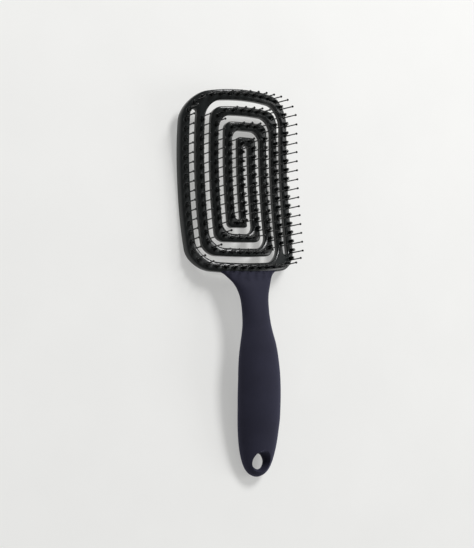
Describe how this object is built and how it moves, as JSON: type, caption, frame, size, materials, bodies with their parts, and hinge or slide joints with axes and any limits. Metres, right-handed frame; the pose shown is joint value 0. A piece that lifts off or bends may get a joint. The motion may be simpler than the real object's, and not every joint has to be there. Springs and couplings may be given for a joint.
{
  "type": "hair brush",
  "caption": "Detangling hair brush with a vented, flexible head cut into nested spiral ribs, ball-tipped pins beside short tufts, and a soft-touch handle with a hanging hole.",
  "frame": {"origin": "centre of the footprint of the brush lying on its back, at the height of the surface under it", "axes": "+X along the brush from the head's top to the handle's end, +Y across it, +Z out of the bristle side"},
  "size_m": [0.24, 0.08, 0.0333],
  "materials": {
    "head": "satin",
    "grip": "soft-touch matte",
    "bristles": "gloss",
    "anchors": "drawn wire"
  },
  "bodies": {
    "frame": {"head_frame": "head", "handle_grip": "grip", "rim_bristles": "bristles", "rim_anchors": "anchors"},
    "outer_turns": {"outer_left_rib": "head", "outer_left_bristles": "bristles", "outer_left_anchors": "anchors", "outer_right_rib": "head", "outer_right_bristles": "bristles", "outer_right_anchors": "anchors"},
    "middle_turns": {"middle_left_rib": "head", "middle_left_bristles": "bristles", "middle_left_anchors": "anchors", "middle_right_rib": "head", "middle_right_bristles": "bristles", "middle_right_anchors": "anchors"},
    "centre_turns": {"centre_rib": "head", "centre_bristles": "bristles", "centre_anchors": "anchors"}
  },
  "joints": [
    {"name": "outer_flex", "type": "slide", "parent": "frame", "child": "outer_turns", "axis": [0, 0, -1], "range_m": [0, 0.002], "stiffness_N_per_m": 1500},
    {"name": "middle_flex", "type": "slide", "parent": "outer_turns", "child": "middle_turns", "axis": [0, 0, -1], "range_m": [0, 0.002], "stiffness_N_per_m": 1500},
    {"name": "centre_flex", "type": "slide", "parent": "middle_turns", "child": "centre_turns", "axis": [0, 0, -1], "range_m": [0, 0.002], "stiffness_N_per_m": 1500}
  ],
  "couplings": [
    {"joint": "middle_flex", "follows": "outer_flex", "ratio": 1},
    {"joint": "centre_flex", "follows": "outer_flex", "ratio": 1}
  ]
}
